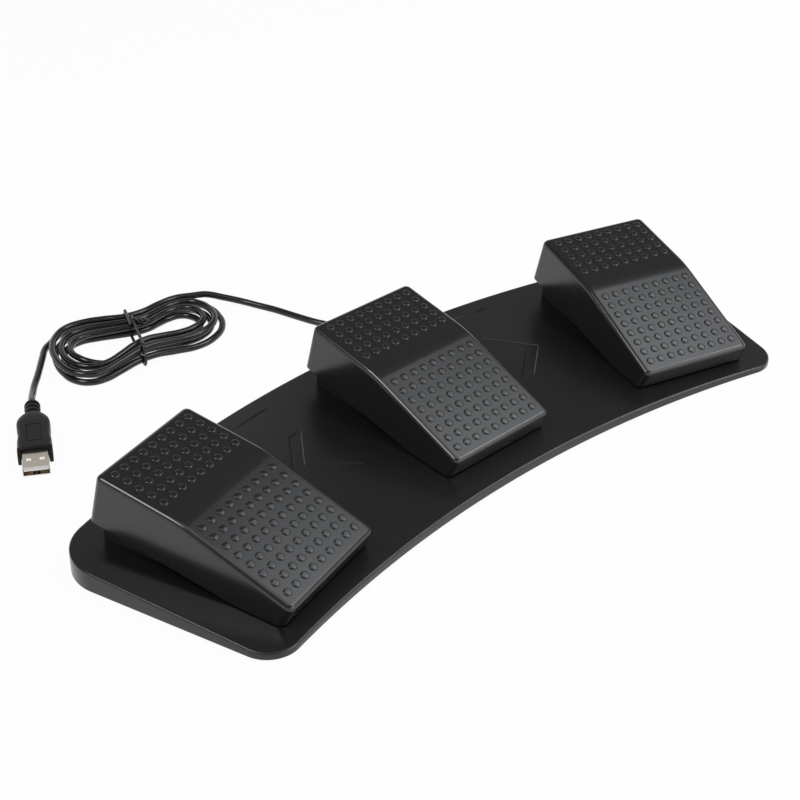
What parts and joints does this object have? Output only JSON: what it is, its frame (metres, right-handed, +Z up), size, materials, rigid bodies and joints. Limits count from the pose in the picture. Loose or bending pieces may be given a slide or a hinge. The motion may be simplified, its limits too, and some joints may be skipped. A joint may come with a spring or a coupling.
{
  "type": "foot switch",
  "caption": "Triple foot switch: rocker pedals with bumps on a crescent wedge base, sprung on pivot pins over micro switches, with a tied cord and plug.",
  "frame": {"origin": "Centre of the object's box on the floor, without the cord and plug.", "axes": "+X right for a person whose feet are at -Y, +Y to the rear where the cord leaves, +Z up."},
  "size_m": [0.3702, 0.2643, 0.0458],
  "materials": {
    "black_plastic": "satin moulded",
    "cord_black": "soft sheen",
    "foot_rubber": "matte",
    "steel": "bright",
    "shell_nickel": "nickel plate",
    "contact_gold": "plated",
    "board_green": "solder mask",
    "header_white": "moulded",
    "component_black": "moulded",
    "plunger_red": "moulded"
  },
  "bodies": {
    "base": {"base_top_shell": "black_plastic", "base_bottom_cover": "black_plastic", "cover_screws": "steel", "rubber_feet": "foot_rubber", "housing_screws": "steel", "pivot_pin_left": "steel", "pedal_housing_left": "black_plastic", "return_spring_left": "steel", "micro_switch_left": "component_black", "switch_wires_left": "cord_black", "pivot_pin_middle": "steel", "pedal_housing_middle": "black_plastic", "return_spring_middle": "steel", "micro_switch_middle": "component_black", "switch_wires_middle": "cord_black", "pivot_pin_right": "steel", "pedal_housing_right": "black_plastic", "return_spring_right": "steel", "micro_switch_right": "component_black", "switch_wires_right": "cord_black", "controller_board": "board_green", "board_components": "component_black", "board_headers": "header_white", "board_screws": "steel", "cord_strain_relief": "cord_black", "cord_inner_lead": "cord_black", "cord_lead": "cord_black", "cord_hank": "cord_black", "hank_tie": "cord_black", "cord_tail": "cord_black", "plug_overmould": "cord_black", "plug_shell": "shell_nickel", "plug_tongue": "header_white", "plug_contacts": "contact_gold"},
    "pedal_left": {"pedal_left": "black_plastic"},
    "pedal_middle": {"pedal_middle": "black_plastic"},
    "pedal_right": {"pedal_right": "black_plastic"},
    "plunger_left": {"switch_plunger_left": "plunger_red"},
    "plunger_middle": {"switch_plunger_middle": "plunger_red"},
    "plunger_right": {"switch_plunger_right": "plunger_red"}
  },
  "joints": [
    {"name": "pedal_left_press", "type": "hinge", "parent": "base", "child": "pedal_left", "pos_m": [-0.12337, -0.02868, 0.01286], "axis": [-0.9659, -0.2582, -0.0185], "range_deg": [0, 7], "stiffness_Nm_per_rad": 1.5, "springref_deg": -8.59, "deforming": ["return_spring_left"]},
    {"name": "pedal_middle_press", "type": "hinge", "parent": "base", "child": "pedal_middle", "pos_m": [0, -0.01083, 0.01413], "axis": [-1, 0, 0], "range_deg": [0, 7], "stiffness_Nm_per_rad": 1.5, "springref_deg": -8.59, "deforming": ["return_spring_middle"]},
    {"name": "pedal_right_press", "type": "hinge", "parent": "base", "child": "pedal_right", "pos_m": [0.12337, -0.02868, 0.01286], "axis": [-0.9659, 0.2582, 0.0185], "range_deg": [0, 7], "stiffness_Nm_per_rad": 1.5, "springref_deg": -8.59, "deforming": ["return_spring_right"]},
    {"name": "plunger_left_travel", "type": "slide", "parent": "base", "child": "plunger_left", "axis": [0, 0.0715, -0.9974], "range_m": [0, 0.0022]},
    {"name": "plunger_middle_travel", "type": "slide", "parent": "base", "child": "plunger_middle", "axis": [0, 0.0715, -0.9974], "range_m": [0, 0.0022]},
    {"name": "plunger_right_travel", "type": "slide", "parent": "base", "child": "plunger_right", "axis": [0, 0.0715, -0.9974], "range_m": [0, 0.0022]}
  ],
  "couplings": [
    {"joint": "plunger_left_travel", "follows": "pedal_left_press", "m_per_rad": 0.0179},
    {"joint": "plunger_middle_travel", "follows": "pedal_middle_press", "m_per_rad": 0.0179},
    {"joint": "plunger_right_travel", "follows": "pedal_right_press", "m_per_rad": 0.0179}
  ]
}
